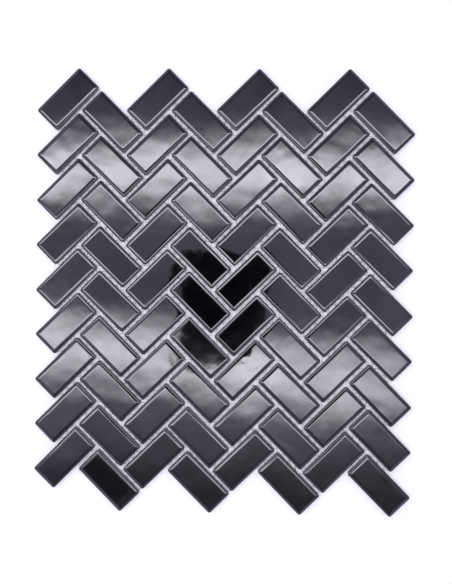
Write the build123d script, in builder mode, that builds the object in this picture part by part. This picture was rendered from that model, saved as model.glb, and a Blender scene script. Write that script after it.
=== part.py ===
"""Herringbone mosaic sheet: glazed porcelain chips glued face up on a fibreglass net.

Millimetres, +Z up. The sheet lies flat, and the origin is at the middle of its underside.
Rising chips lean up to the right, falling chips lean down to the right, and they alternate along a row.
"""

import os
from math import sqrt

from build123d import *

# Driving dimensions of a chip
chip_width = 23.0
chip_thickness = 6.0
corner_cut = 1.1  # blunt plan corners, at the chip's back
side_draft = 4.0  # degrees that the pressed sides lean in towards the face
cushion_radius = 2.4  # rounding all round the glazed face

# Driving dimensions of the laying pattern
joint = 2.4
rows = 9
chips_in_row = 8

# Driving dimensions of the net
yarn_width = 0.8
yarn_thickness = 0.3
yarn_pitch = 5.0
net_inset = 1.0  # how far the net stops inside the outer chips' edges

# Sizes that follow from those
chip_length = 2 * chip_width + joint
module = chip_width + joint
step = module * sqrt(2)  # from chip to chip along a row, and from row to row
net_thickness = 2 * yarn_thickness
chip_reach = (chip_length + chip_width) / sqrt(2)  # a leaning chip's width and its height
sheet_width = (chips_in_row - 1) * step + chip_reach
sheet_height = (rows - 0.5) * step + chip_reach

parts_folder = "parts"
os.makedirs(parts_folder, exist_ok=True)


def write(part, name):
    """Labels a finished piece and writes it to its own file."""
    part.label = name
    export_step(part, f"{parts_folder}/{name}.step")


def row_places(row):
    """Where one row's chips lie, from the left: rising chips, with falling ones half a step lower between."""
    places = []
    for index in range(chips_in_row):
        falling = index % 2
        x = (index - (chips_in_row - 1) / 2) * step
        y = ((rows - 0.5) / 2 - row - falling / 2) * step
        places.append(Location((x, y, 0), (0, 0, -45 if falling else 45)))
    return places


# One chip: a block with drafted sides, a cushioned edge round its glazed face, and blunt corners
with BuildPart() as chip:
    with BuildSketch(Plane.XY.offset(net_thickness)):
        Rectangle(chip_length, chip_width)
    extrude(amount=chip_thickness, taper=side_draft)
    glazed_face = chip.faces().sort_by(Axis.Z)[-1]
    fillet(glazed_face.edges(), radius=cushion_radius)
    with BuildSketch(Plane.XY.offset(net_thickness)):
        back = Rectangle(chip_length, chip_width)
        chamfer(back.vertices(), length=corner_cut)
    extrude(amount=chip_thickness, mode=Mode.INTERSECT)

# Rows of loose chips, numbered from the top of the sheet
for row in range(rows):
    with BuildPart() as chip_row:
        with Locations(*row_places(row)):
            add(chip.part)
    write(chip_row.part, f"chip_row_{row + 1}")

# Outline of the net: a zigzag along the middle of the outer joints, drawn in on all four sides
half = step / 2
draw_in = sqrt(2) * (joint / 2 + net_inset)
first_x = -(chips_in_row - 1) * half  # the first rising chip's centre
top_y = (rows - 0.5) * half  # the top rising chips' centres
last_y = top_y - (rows - 1) * step  # the bottom rising chips' centres

corners = []
for index in range(0, chips_in_row, 2):
    x = first_x + index * step
    corners.append((x + 0.5 * half, top_y + 1.5 * half - draw_in))
    if index + 2 < chips_in_row:
        corners.append((x + 2.5 * half, top_y - 0.5 * half - draw_in))
for row in range(rows):
    x = -first_x
    y = top_y - row * step
    corners.append((x + 1.5 * half - draw_in, y - 1.5 * half))
    if row + 1 < rows:
        corners.append((x + 0.5 * half - draw_in, y - 2.5 * half))
for index in reversed(range(0, chips_in_row, 2)):
    x = first_x + index * step
    corners.append((x + 2.5 * half, last_y - 2.5 * half + draw_in))
    corners.append((x + 0.5 * half, last_y - 0.5 * half + draw_in))
corners.append((first_x - 0.5 * half, last_y - 1.5 * half + draw_in))
for row in reversed(range(rows)):
    y = top_y - row * step
    corners.append((first_x - 1.5 * half + draw_in, y - 0.5 * half))
    if row > 0:
        corners.append((first_x - 0.5 * half + draw_in, y + 0.5 * half))

with BuildSketch() as net_outline:
    Polygon(*corners, align=None)


def drop_scraps(layer):
    """Takes out the yarn ends that are too short to cross a yarn of the other layer."""
    for piece in layer.faces():
        if piece.area < yarn_width * 2 * yarn_pitch:
            add(piece, mode=Mode.SUBTRACT)


# Upright yarns, which lie lowest
with BuildPart() as warp:
    with BuildSketch() as warp_layer:
        with GridLocations(yarn_pitch, 0, 2 * int(sheet_width / yarn_pitch / 2) + 1, 1):
            Rectangle(yarn_width, sheet_height)
        add(net_outline.sketch, mode=Mode.INTERSECT)
        drop_scraps(warp_layer)
    extrude(amount=yarn_thickness)
write(warp.part, "net_warp_yarns")

# Level yarns, which lie on the upright ones and carry the chips
with BuildPart() as weft:
    with BuildSketch(Plane.XY.offset(yarn_thickness)) as weft_layer:
        with GridLocations(0, yarn_pitch, 1, 2 * int(sheet_height / yarn_pitch / 2) + 1):
            Rectangle(sheet_width, yarn_width)
        add(net_outline.sketch, mode=Mode.INTERSECT)
        drop_scraps(weft_layer)
    extrude(amount=yarn_thickness)
write(weft.part, "net_weft_yarns")
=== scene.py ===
"""Looks of the herringbone mosaic sheet: glazed chips, the net under them, floor, light and camera.

Sizes are in metres in the sheet's own frame: +Z out of the glazed faces, +Y up the picture, +X to its right.
"""

import math
import random

import bpy
import numpy as np
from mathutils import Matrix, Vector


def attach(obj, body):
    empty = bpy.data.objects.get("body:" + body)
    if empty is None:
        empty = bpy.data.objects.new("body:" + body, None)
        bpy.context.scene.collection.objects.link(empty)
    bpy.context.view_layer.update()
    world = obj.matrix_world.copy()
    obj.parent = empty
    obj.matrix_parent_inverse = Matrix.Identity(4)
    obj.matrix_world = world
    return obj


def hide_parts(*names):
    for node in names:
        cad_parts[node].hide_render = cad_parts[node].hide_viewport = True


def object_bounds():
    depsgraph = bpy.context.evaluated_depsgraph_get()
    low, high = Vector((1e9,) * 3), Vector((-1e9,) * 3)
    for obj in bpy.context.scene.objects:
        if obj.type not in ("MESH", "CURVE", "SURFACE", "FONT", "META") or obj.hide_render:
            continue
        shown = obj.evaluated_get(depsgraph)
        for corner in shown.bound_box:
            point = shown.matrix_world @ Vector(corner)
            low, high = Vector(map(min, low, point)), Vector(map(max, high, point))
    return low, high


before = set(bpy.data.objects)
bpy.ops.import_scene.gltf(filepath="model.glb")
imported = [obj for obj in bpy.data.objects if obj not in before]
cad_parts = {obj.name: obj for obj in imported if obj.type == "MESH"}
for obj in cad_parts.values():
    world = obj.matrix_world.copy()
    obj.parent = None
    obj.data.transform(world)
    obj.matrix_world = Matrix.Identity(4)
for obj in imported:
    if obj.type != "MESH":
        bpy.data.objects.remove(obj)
cad_low, cad_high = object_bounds()

MM = 0.001
FULL_TURN = 2 * math.pi

# Sizes that the solids have too
CHIP_WIDTH = 23.0 * MM
CHIP_THICKNESS = 6.0 * MM
JOINT = 2.4 * MM
ROWS = 9
CHIPS_IN_ROW = 8
YARN_WIDTH = 0.8 * MM
YARN_THICKNESS = 0.3 * MM
CHIP_LENGTH = 2 * CHIP_WIDTH + JOINT
STEP = math.sqrt(2) * (CHIP_WIDTH + JOINT)
NET_THICKNESS = 2 * YARN_THICKNESS

# The chip's finer form
CORNER_RADIUS = 1.9 * MM  # plan corners at the back
LEAST_CORNER_RADIUS = 0.9 * MM  # plan corners of the flat face, so the rim mitres
ARC_STEPS = 3  # segments in half a plan corner
LONG_STEPS = 26  # segments along a long side's straight part
SHORT_STEPS = 13
# The edge of the back: mm in from the chip's edge, and mm above the back
BACK_EDGE = ((0.22, 0), (0.05, 0.10), (0.03, 0.4))
# The rim from the face outwards: mm in from the chip's edge, and how steeply the glaze falls there in degrees
RIM = (
    ((3.3, 0), (3.05, 1.2), (2.75, 3.1), (2.45, 5.2), (2.12, 7), (1.75, 8.4), (1.35, 10.5))
    + ((1.0, 16), (0.7, 26), (0.48, 38), (0.32, 50), (0.2, 61), (0.12, 72), (0.07, 82))
)

# How the chips differ from each other
CHIP_SEED = 4300
FACE_DROP = 0.20 * MM  # how far the mean face lies under the chip's full height
RELIEF_FROM = 0.7 * CHIP_THICKNESS  # height from which a chip has the whole of its face's relief
TILT_ALONG, TILT_ACROSS = 0.28, 0.32  # spread of the face's tilt in degrees
CROWN_ALONG, CROWN_ACROSS = (-0.02, 0.05), (-0.02, 0.04)  # least and greatest crown in mm
# Slow waves in the glaze: length in mm and steepest slope in degrees
WAVES = ((34, 0.26), (24, 0.24), (17, 0.2), (12, 0.16), (8, 0.1), (8, 0.1))
WAVE_STRETCH = (0.85, 1.2)
LEAN_PLAY = 0.3  # spread of a chip's turn in degrees
PLACE_PLAY = 0.25 * MM

# The yarns' finer form
YARN_SIDES = 8
YARN_STEP = 2.5 * MM  # between a yarn's cross sections
YARN_HALF_WIDTH = 0.46 * YARN_WIDTH
YARN_FILL = 0.98  # share of the solid yarn's thickness
YARN_END = 0.3 * MM  # how much shorter each end is
SWELL, SWELL_LENGTH = 0.10, 3.1 * MM
SHORT_WANDER, SHORT_WANDER_LENGTH = 0.10 * MM, 7.3 * MM
LONG_WANDER, LONG_WANDER_LENGTH = 0.07 * MM, 19 * MM
UPRIGHT_SEED, LEVEL_SEED = 11, 12


# Chips


def chip_ring(inset, height):
    """One level outline of a chip, anticlockwise from the middle of its lower left corner."""
    half_length = CHIP_LENGTH / 2 - inset
    half_width = CHIP_WIDTH / 2 - inset
    radius = max(CORNER_RADIUS - inset, LEAST_CORNER_RADIUS)
    x, y = half_length - radius, half_width - radius
    centres = [(-x, -y), (x, -y), (x, y), (-x, y)]
    points = []
    for side, steps in enumerate((LONG_STEPS, SHORT_STEPS, LONG_STEPS, SHORT_STEPS)):
        here, there = np.array(centres[side]), np.array(centres[(side + 1) % 4])
        outward = math.radians(270 + 90 * side)
        edge = np.array([math.cos(outward), math.sin(outward)]) * radius
        for k in range(ARC_STEPS):
            angle = outward - math.pi / 4 * (1 - k / ARC_STEPS)
            points.append(here + radius * np.array([math.cos(angle), math.sin(angle)]))
        for k in range(steps):
            points.append(here + edge + (there - here) * k / steps)
        for k in range(ARC_STEPS):
            angle = outward + math.pi / 4 * k / ARC_STEPS
            points.append(there + radius * np.array([math.cos(angle), math.sin(angle)]))
    plan = np.array(points)
    return np.column_stack([plan, np.full(len(plan), height)])


def chip_profile():
    """Insets and heights of a chip's outlines: its back and sides, then the rim up to the flat face."""
    height = CHIP_THICKNESS
    rim = [(RIM[0][0] * MM, height)]
    for (inner, inner_fall), (outer, outer_fall) in zip(RIM, RIM[1:]):
        height -= (inner - outer) * MM * math.tan(math.radians((inner_fall + outer_fall) / 2))
        rim.append((outer * MM, height))
    sides = [(inset * MM, rise * MM) for inset, rise in BACK_EDGE]
    sides.append((RIM[-1][0] / 2 * MM, height / 2))
    return sides + rim[::-1]


def face_grid(ring, first):
    """Fills the last outline: extra points, and a grid of point numbers.

    The ring's own points are numbered from first, and the extra points follow them.
    """
    across, along = LONG_STEPS + 2 * ARC_STEPS, SHORT_STEPS + 2 * ARC_STEPS
    count = len(ring)
    numbers = -np.ones((across + 1, along + 1), dtype=int)
    numbers[:, 0] = np.arange(across + 1)
    numbers[across, :] = across + np.arange(along + 1)
    numbers[:, along] = across + along + across - np.arange(across + 1)
    numbers[0, :] = (2 * across + along + along - np.arange(along + 1)) % count
    bottom, top = ring[numbers[:, 0]], ring[numbers[:, along]]
    left, right = ring[numbers[0, :]], ring[numbers[across, :]]
    extra = []
    for i in range(1, across):
        s = i / across
        for j in range(1, along):
            t = j / along
            ruled = (1 - t) * bottom[i] + t * top[i] + (1 - s) * left[j] + s * right[j]
            left_end = (1 - t) * bottom[0] + t * top[0]
            right_end = (1 - t) * bottom[-1] + t * top[-1]
            numbers[i, j] = count + len(extra)
            extra.append(ruled - ((1 - s) * left_end + s * right_end))
    return np.array(extra), numbers + first


def plain_chip():
    """Points and faces of a chip with a perfectly flat face, its back at height 0."""
    rings = [chip_ring(inset, height) for inset, height in chip_profile()]
    count = len(rings[0])
    faces = [tuple(range(count - 1, -1, -1))]
    for level in range(len(rings) - 1):
        low, high = level * count, (level + 1) * count
        for k in range(count):
            after = (k + 1) % count
            faces.append((low + k, low + after, high + after, high + k))
    extra, numbers = face_grid(rings[-1], (len(rings) - 1) * count)
    for i in range(numbers.shape[0] - 1):
        for j in range(numbers.shape[1] - 1):
            faces.append((numbers[i, j], numbers[i + 1, j], numbers[i + 1, j + 1], numbers[i, j + 1]))
    return np.concatenate([*rings, extra]), faces


def glaze_relief(points, draw):
    """How much each point of one chip's face rises or falls: a tilt, a crown and slow waves in the glaze."""
    u, v = points[:, 0], points[:, 1]
    rise = math.radians(draw.gauss(0, TILT_ALONG)) * u + math.radians(draw.gauss(0, TILT_ACROSS)) * v
    rise += draw.uniform(*CROWN_ALONG) * MM * (1 - (2 * u / CHIP_LENGTH) ** 2)
    rise += draw.uniform(*CROWN_ACROSS) * MM * (1 - (2 * v / CHIP_WIDTH) ** 2)
    for length, slope in WAVES:
        heading = draw.uniform(0, FULL_TURN)
        wave = FULL_TURN / (length * MM * draw.uniform(*WAVE_STRETCH))
        phase = draw.uniform(0, FULL_TURN)
        distance = u * math.cos(heading) + v * math.sin(heading)
        rise += math.radians(slope) / wave * np.sin(wave * distance + phase)
    return rise


def laid_chip(points, lean, x, y, draw):
    """One chip's points, glazed, turned to its lean and laid at its place with a little play."""
    points = points.copy()
    share = np.clip(points[:, 2] / RELIEF_FROM, 0, 1)
    relief = FACE_DROP * np.tanh(glaze_relief(points, draw) / FACE_DROP)
    points[:, 2] += share * (relief - FACE_DROP)
    turn = math.radians(lean + draw.gauss(0, LEAN_PLAY))
    cos, sin = math.cos(turn), math.sin(turn)
    play = [draw.uniform(-PLACE_PLAY, PLACE_PLAY), draw.uniform(-PLACE_PLAY, PLACE_PLAY)]
    plan = np.array([x, y]) + play + points[:, :2] @ np.array([[cos, sin], [-sin, cos]])
    # No chip reaches past the solids' own box
    plan += np.maximum(np.array(cad_low[:2]) - plan.min(0), 0)
    plan -= np.maximum(plan.max(0) - np.array(cad_high[:2]), 0)
    return np.column_stack([plan, NET_THICKNESS + points[:, 2]])


def new_piece(name, points, faces, material):
    """A smooth mesh piece of the object, riding on its one body."""
    mesh = bpy.data.meshes.new(name)
    mesh.from_pydata(points.tolist(), [], faces)
    mesh.polygons.foreach_set("use_smooth", [True] * len(mesh.polygons))
    mesh.materials.append(material)
    mesh.update()
    piece = bpy.data.objects.new(name, mesh)
    bpy.context.collection.objects.link(piece)
    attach(piece, "root")
    return piece


def chip_row(row, shape, material):
    """One row of eight chips as a piece, with a shade of its own for each chip."""
    plain, plain_faces = shape
    draw = random.Random(CHIP_SEED + row)
    points, faces, shades = [], [], []
    for index in range(CHIPS_IN_ROW):
        falling = index % 2
        x = (index - (CHIPS_IN_ROW - 1) / 2) * STEP
        y = ((ROWS - 0.5) / 2 - row - falling / 2) * STEP
        first = index * len(plain)
        points.append(laid_chip(plain, -45 if falling else 45, x, y, draw))
        faces += [tuple(int(number) + first for number in face) for face in plain_faces]
        shades += [draw.random()] * len(plain)
    piece = new_piece(f"glazed_chips_{row + 1}", np.concatenate(points), faces, material)
    shade = piece.data.attributes.new("chip_shade", "FLOAT", "POINT")
    shade.data.foreach_set("value", shades)
    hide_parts(f"chip_row_{row + 1}")


# Net


def yarn_runs(node):
    """Lowest and highest corners of each yarn of a net layer, read from its solids."""
    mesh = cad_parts[node].data
    owner = {}

    def root(key):
        while owner[key] != key:
            key = owner[key]
        return key

    # Corners that agree to a thousandth of a millimetre are one point
    keys = [tuple(round(c * 1e6) for c in vertex.co) for vertex in mesh.vertices]
    for key in keys:
        owner.setdefault(key, key)
    for polygon in mesh.polygons:
        first = root(keys[polygon.vertices[0]])
        for number in polygon.vertices[1:]:
            owner[root(keys[number])] = first
    groups = {}
    for key in owner:
        groups.setdefault(root(key), []).append(key)
    boxes = [(np.min(group, 0) * 1e-6, np.max(group, 0) * 1e-6) for group in groups.values()]
    return sorted(boxes, key=lambda box: tuple(box[0]))


def yarn_tube(start, end, middle_height, draw):
    """Points and faces of one flat yarn that wanders slightly between its two ends."""
    length = np.linalg.norm(end - start)
    steps = max(3, round(length / YARN_STEP))
    along = (end - start) / length
    across = np.array([-along[1], along[0]])
    phases = [draw.uniform(0, FULL_TURN) for _ in range(3)]
    points, faces = [], []
    for step in range(steps + 1):
        place = length * step / steps
        swell = 1 + SWELL * math.sin(place / SWELL_LENGTH + phases[0])
        wander = SHORT_WANDER * math.sin(place / SHORT_WANDER_LENGTH + phases[1])
        wander += LONG_WANDER * math.sin(place / LONG_WANDER_LENGTH + phases[2])
        centre = start + along * place + across * wander
        for side in range(YARN_SIDES):
            angle = FULL_TURN * (side + 0.5) / YARN_SIDES
            sideways = YARN_HALF_WIDTH * swell * math.cos(angle)
            height = YARN_THICKNESS / 2 * math.copysign(abs(math.sin(angle)) ** 0.5, math.sin(angle))
            points.append([*(centre + across * sideways), middle_height + height * YARN_FILL])
    for step in range(steps):
        for side in range(YARN_SIDES):
            after = (side + 1) % YARN_SIDES
            low, high = step * YARN_SIDES, (step + 1) * YARN_SIDES
            faces.append((low + side, low + after, high + after, high + side))
    faces.append(tuple(range(YARN_SIDES - 1, -1, -1)))
    faces.append(tuple(steps * YARN_SIDES + side for side in range(YARN_SIDES)))
    return points, faces


def yarn_layer(name, node, axis, middle_height, seed, material):
    """One layer of the net as a piece: a flat yarn along every solid yarn of the node."""
    draw = random.Random(seed)
    points, faces = [], []
    for low, high in yarn_runs(node):
        start, end = (low[:2] + high[:2]) / 2, (low[:2] + high[:2]) / 2
        start[axis], end[axis] = low[axis] + YARN_END, high[axis] - YARN_END
        more, more_faces = yarn_tube(start, end, middle_height, draw)
        faces += [tuple(number + len(points) for number in face) for face in more_faces]
        points += more
    piece = new_piece(name, np.array(points), faces, material)
    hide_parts(node)


# Nodes of materials and of the world


def node_adder(tree):
    """A function that adds a node to a tree, with its settings and with values or links for its inputs."""

    def add(kind, inputs=None, **settings):
        node = tree.nodes.new(kind)
        for key, value in settings.items():
            setattr(node, key, value)
        for key, value in (inputs or {}).items():
            if isinstance(value, bpy.types.NodeSocket):
                tree.links.new(value, node.inputs[key])
            else:
                node.inputs[key].default_value = value
        return node

    return add


def maths(add, operation, *values):
    """The result of one sum."""
    return add("ShaderNodeMath", dict(enumerate(values)), operation=operation).outputs[0]


def noise(add, place, scale, detail, **inputs):
    """Noise from 0 to 1, with scale grains to a metre."""
    inputs = {"Vector": place, "Scale": scale, "Detail": detail, **inputs}
    return add("ShaderNodeTexNoise", inputs).outputs["Fac"]


def carried(add, value, low, high, at_low, at_high, shape="LINEAR"):
    """A value carried from one range to another and held at its ends."""
    ends = {"From Min": low, "From Max": high, "To Min": at_low, "To Max": at_high}
    return add("ShaderNodeMapRange", {"Value": value, **ends}, interpolation_type=shape).outputs["Result"]


def mixed(add, kind, share, one, other):
    """One value or colour blended into another by a share."""
    return add("ShaderNodeMix", {"Factor": share, "A": one, "B": other}, data_type=kind).outputs["Result"]


def ramp(add, value, *stops):
    """A colour that a value picks between stops, each a position and a colour."""
    node = add("ShaderNodeValToRGB", {"Fac": value})
    elements = node.color_ramp.elements
    for position, _ in stops[1:-1]:
        elements.new(position)
    for element, (position, colour) in zip(elements, stops):
        element.position = position
        element.color = (*colour, 1)
    return node.outputs["Color"]


def new_material(name):
    """A node material with its tree, its Principled shader and a function that adds nodes."""
    material = bpy.data.materials.new(name)
    material.use_nodes = True
    tree = material.node_tree
    return material, tree, tree.nodes["Principled BSDF"], node_adder(tree)


# Materials


def glaze_material():
    """Glossy black glaze over a grey body. Down the sides a lighter bluish grey is a painted reflection of
    the pale joints, and there is no glaze low on the sides or on the back.
    """
    material, tree, shader, add = new_material("black_glaze")
    place = add("ShaderNodeTexCoord").outputs["Object"]
    shade = add("ShaderNodeAttribute", attribute_name="chip_shade").outputs["Fac"]
    cloud = noise(add, place, 160.0, 3.0)
    tone = mixed(add, "FLOAT", 0.35, cloud, shade)
    tone_low, tone_high = 0.3, 0.75
    glaze = ramp(add, tone, (tone_low, (0.0012, 0.0011, 0.0015)), (tone_high, (0.0040, 0.0037, 0.0050)))
    grit = noise(add, place, 1800.0, 2.0)
    body = ramp(add, grit, (0.0, (0.20, 0.20, 0.21)), (1.0, (0.32, 0.32, 0.33)))

    # The glaze ends in an uneven line a little above the back
    height = add("ShaderNodeSeparateXYZ", {"Vector": place}).outputs["Z"]
    line = maths(add, "MULTIPLY_ADD", cloud, 0.9 * MM, NET_THICKNESS + 0.35 * MM)
    above = maths(add, "SUBTRACT", height, line)
    glazed = carried(add, above, -0.12 * MM, 0.12 * MM, 0.0, 1.0, "SMOOTHSTEP")
    # Above it the sides are a lighter bluish grey, a painted reflection of the pale joints, and the black
    # glaze is full from the foot of the rim up
    rim_glaze_share = carried(add, height, NET_THICKNESS + 3.6 * MM, NET_THICKNESS + 4.7 * MM, 0.0, 1.0, "SMOOTHSTEP")
    painted_joint_reflection = (0.22, 0.22, 0.26, 1)
    coat = mixed(add, "RGBA", rim_glaze_share, painted_joint_reflection, glaze)
    tree.links.new(mixed(add, "RGBA", glazed, body, coat), shader.inputs["Base Color"])

    sheen = carried(add, tone, tone_low, tone_high, 0.03, 0.08)
    tree.links.new(mixed(add, "FLOAT", glazed, 0.7, sheen), shader.inputs["Roughness"])
    shader.inputs["IOR"].default_value = 1.79

    ripple = noise(add, place, 170.0, 1.0, Roughness=0.4)
    bump = add("ShaderNodeBump", {"Height": ripple, "Strength": 1.0, "Distance": 0.014 * MM})
    tree.links.new(bump.outputs["Normal"], shader.inputs["Normal"])
    return material


def net_material():
    """White glass-fibre yarn with a milky coat, and cream where glue has soaked in."""
    material, tree, shader, add = new_material("net_yarn")
    place = add("ShaderNodeTexCoord").outputs["Object"]
    soak = noise(add, place, 75.0, 3.0)
    tint = ramp(add, soak, (0.45, (0.86, 0.85, 0.83)), (0.72, (0.82, 0.74, 0.62)))
    tree.links.new(tint, shader.inputs["Base Color"])
    tree.links.new(carried(add, soak, 0.0, 1.0, 0.75, 0.45), shader.inputs["Roughness"])
    fibre = noise(add, place, 6000.0, 2.0)
    bump = add("ShaderNodeBump", {"Height": fibre, "Strength": 0.5, "Distance": 0.05 * MM})
    tree.links.new(bump.outputs["Normal"], shader.inputs["Normal"])
    return material


def matte(shader, colour, roughness):
    """Makes a shader plain and dull."""
    shader.inputs["Base Color"].default_value = (*colour, 1)
    shader.inputs["Roughness"].default_value = roughness
    shader.inputs["Specular IOR Level"].default_value = 0.0


def floor_material():
    """Plain white floor: it looks white to the camera and in reflections, and still takes a shadow."""
    material, tree, shader, add = new_material("floor")
    matte(shader, (0.92, 0.92, 0.90), 0.9)
    path = add("ShaderNodeLightPath").outputs
    seen = maths(add, "MAXIMUM", path["Is Camera Ray"], path["Is Glossy Ray"])
    seen = maths(add, "MAXIMUM", seen, path["Is Transmission Ray"])
    lift = 0.16
    glow = add("ShaderNodeEmission", {"Strength": maths(add, "MULTIPLY", seen, lift)})
    both = add("ShaderNodeAddShader", {0: shader.outputs[0], 1: glow.outputs[0]})
    tree.links.new(both.outputs[0], tree.nodes["Material Output"].inputs["Surface"])
    return material


def light_material(name, colour, strength, size, fades, sharpness):
    """A soft sheet of light that fades towards its edges and hides nothing behind it."""
    material, tree, _, add = new_material(name)
    place = add("ShaderNodeTexCoord").outputs["Object"]
    axes = add("ShaderNodeSeparateXYZ", {"Vector": place})
    shares = []
    for axis, span, fade in zip("XY", size, fades):
        distance = maths(add, "ABSOLUTE", axes.outputs[axis])
        shares.append(carried(add, distance, span / 2 - fade, span / 2, 1.0, 0.0, "SMOOTHSTEP"))
    share = maths(add, "MULTIPLY", shares[0], maths(add, "POWER", shares[1], sharpness))
    uneven = carried(add, noise(add, place, 9.0, 2.0), 0.3, 0.7, 0.75, 1.25)
    power = maths(add, "MULTIPLY", maths(add, "MULTIPLY", share, uneven), strength)
    emission = add("ShaderNodeEmission", {"Color": (*colour, 1), "Strength": power})
    clear = add("ShaderNodeBsdfTransparent")
    both = add("ShaderNodeAddShader", {0: emission.outputs[0], 1: clear.outputs[0]})
    tree.links.new(both.outputs[0], tree.nodes["Material Output"].inputs["Surface"])
    return material


# Stage


def stage_plane(name, size, place, turn, material):
    """A level rectangle, turned about the upright axis, that is part of the stage and not of the object."""
    x, y = size[0] / 2, size[1] / 2
    mesh = bpy.data.meshes.new(name)
    mesh.from_pydata([(-x, -y, 0), (x, -y, 0), (x, y, 0), (-x, y, 0)], [], [(0, 1, 2, 3)])
    mesh.materials.append(material)
    plane = bpy.data.objects.new(name, mesh)
    plane.location = place
    plane.rotation_euler.z = math.radians(turn)
    bpy.context.collection.objects.link(plane)
    return plane


def panel_light(name, colour, strength, size, place, turn, fades, sharpness):
    """A level light over the sheet that the camera itself doesn't see."""
    material = light_material(name, colour, strength, size, fades, sharpness)
    panel = stage_plane(name, size, place, turn, material)
    panel.visible_camera = False


def dark_card(name, shade, size, place, turn):
    """A dark shape over the sheet, which only the glossy faces see."""
    material, _, shader, _ = new_material(name)
    matte(shader, (shade, shade * 0.9, shade), 1.0)
    card = stage_plane(name, size, place, turn, material)
    card.visible_camera = False
    card.visible_diffuse = False
    card.visible_shadow = False


def studio_world(colour):
    """Dim overhead and pale at the foot, with a large soft light in each diagonal direction half way up."""
    world = bpy.data.worlds.new("studio")
    world.use_nodes = True
    tree = world.node_tree
    add = node_adder(tree)
    heading = add("ShaderNodeSeparateXYZ", {"Vector": add("ShaderNodeTexCoord").outputs["Generated"]})
    x, y, z = heading.outputs
    # How far up a direction points, and how bright the soft lights are there
    levels = ((0.0, 0.0), (0.3, 0.15), (0.5, 0.75), (0.85, 0.65), (0.92, 0.0))
    level = ramp(add, z, *((upward, (grey, grey, grey)) for upward, grey in levels))
    round_share = maths(add, "SUBTRACT", 1.0, maths(add, "MULTIPLY", z, z))
    diagonal = maths(add, "DIVIDE", maths(add, "ABSOLUTE", maths(add, "MULTIPLY", x, y)), round_share)
    boxes = maths(add, "MULTIPLY", level, carried(add, diagonal, 0.1, 0.45, 0.3, 1.5, "SMOOTHSTEP"))
    foot = carried(add, z, 0.06, 0.22, 0.85, 0.25, "SMOOTHSTEP")
    background = tree.nodes["Background"]
    background.inputs["Color"].default_value = (*colour, 1)
    tree.links.new(maths(add, "ADD", boxes, foot), background.inputs["Strength"])
    return world


# The object
glaze = glaze_material()
net = net_material()
shape = plain_chip()
for row in range(ROWS):
    chip_row(row, shape, glaze)
yarn_layer("net_upright", "net_warp_yarns", 1, YARN_THICKNESS / 2, UPRIGHT_SEED, net)
yarn_layer("net_level", "net_weft_yarns", 0, YARN_THICKNESS * 1.5, LEVEL_SEED, net)

# Floor and light
LAMP = (0.95, 0.93, 1.0)
CEILING = (0.80, 0.77, 1.0)
FLOOR_SPAN = 30.0
stage_plane("floor", (FLOOR_SPAN, FLOOR_SPAN), (0, 0, 0), 0, floor_material())
# Each light's name, colour, strength, size, place, turn in degrees, fading edges and how peaked it is across
panel_light("upper_panel", LAMP, 7.2, (1.2, 0.252), (-0.10, 0.207, 0.90), 0, (0.23, 0.126), 2)
panel_light("lower_panel", LAMP, 6.4, (1.2, 0.260), (-0.14, -0.133, 0.90), -6.8, (0.35, 0.130), 2)
panel_light("lower_glow", LAMP, 0.16, (1.2, 0.240), (-0.04, -0.270, 0.91), -5.5, (0.15, 0.120), 1)
panel_light("ceiling_glow", CEILING, 0.51, (1.4, 0.85), (-0.04, 0.028, 0.92), 0, (0.30, 0.17), 1)
# Each dark shape's name, shade, size, place and turn in degrees
dark_card("camera_shape", 0.004, (0.157, 0.212), (-0.040, -0.040, 0.88), 0)
dark_card("stand_shape", 0.09, (0.108, 0.050), (-0.259, -0.362, 0.88), -45)

scene = bpy.context.scene
scene.view_settings.view_transform = "Standard"
scene.world = studio_world(CEILING)

camera = bpy.data.objects.new("camera", bpy.data.cameras.new("camera"))
camera.data.lens = 53.98
camera.location = (0.03080, 0.00813, 0.70229)
camera.rotation_euler = [math.radians(angle) for angle in (-0.661, 2.335, 0.707)]
bpy.context.collection.objects.link(camera)
scene.camera = camera
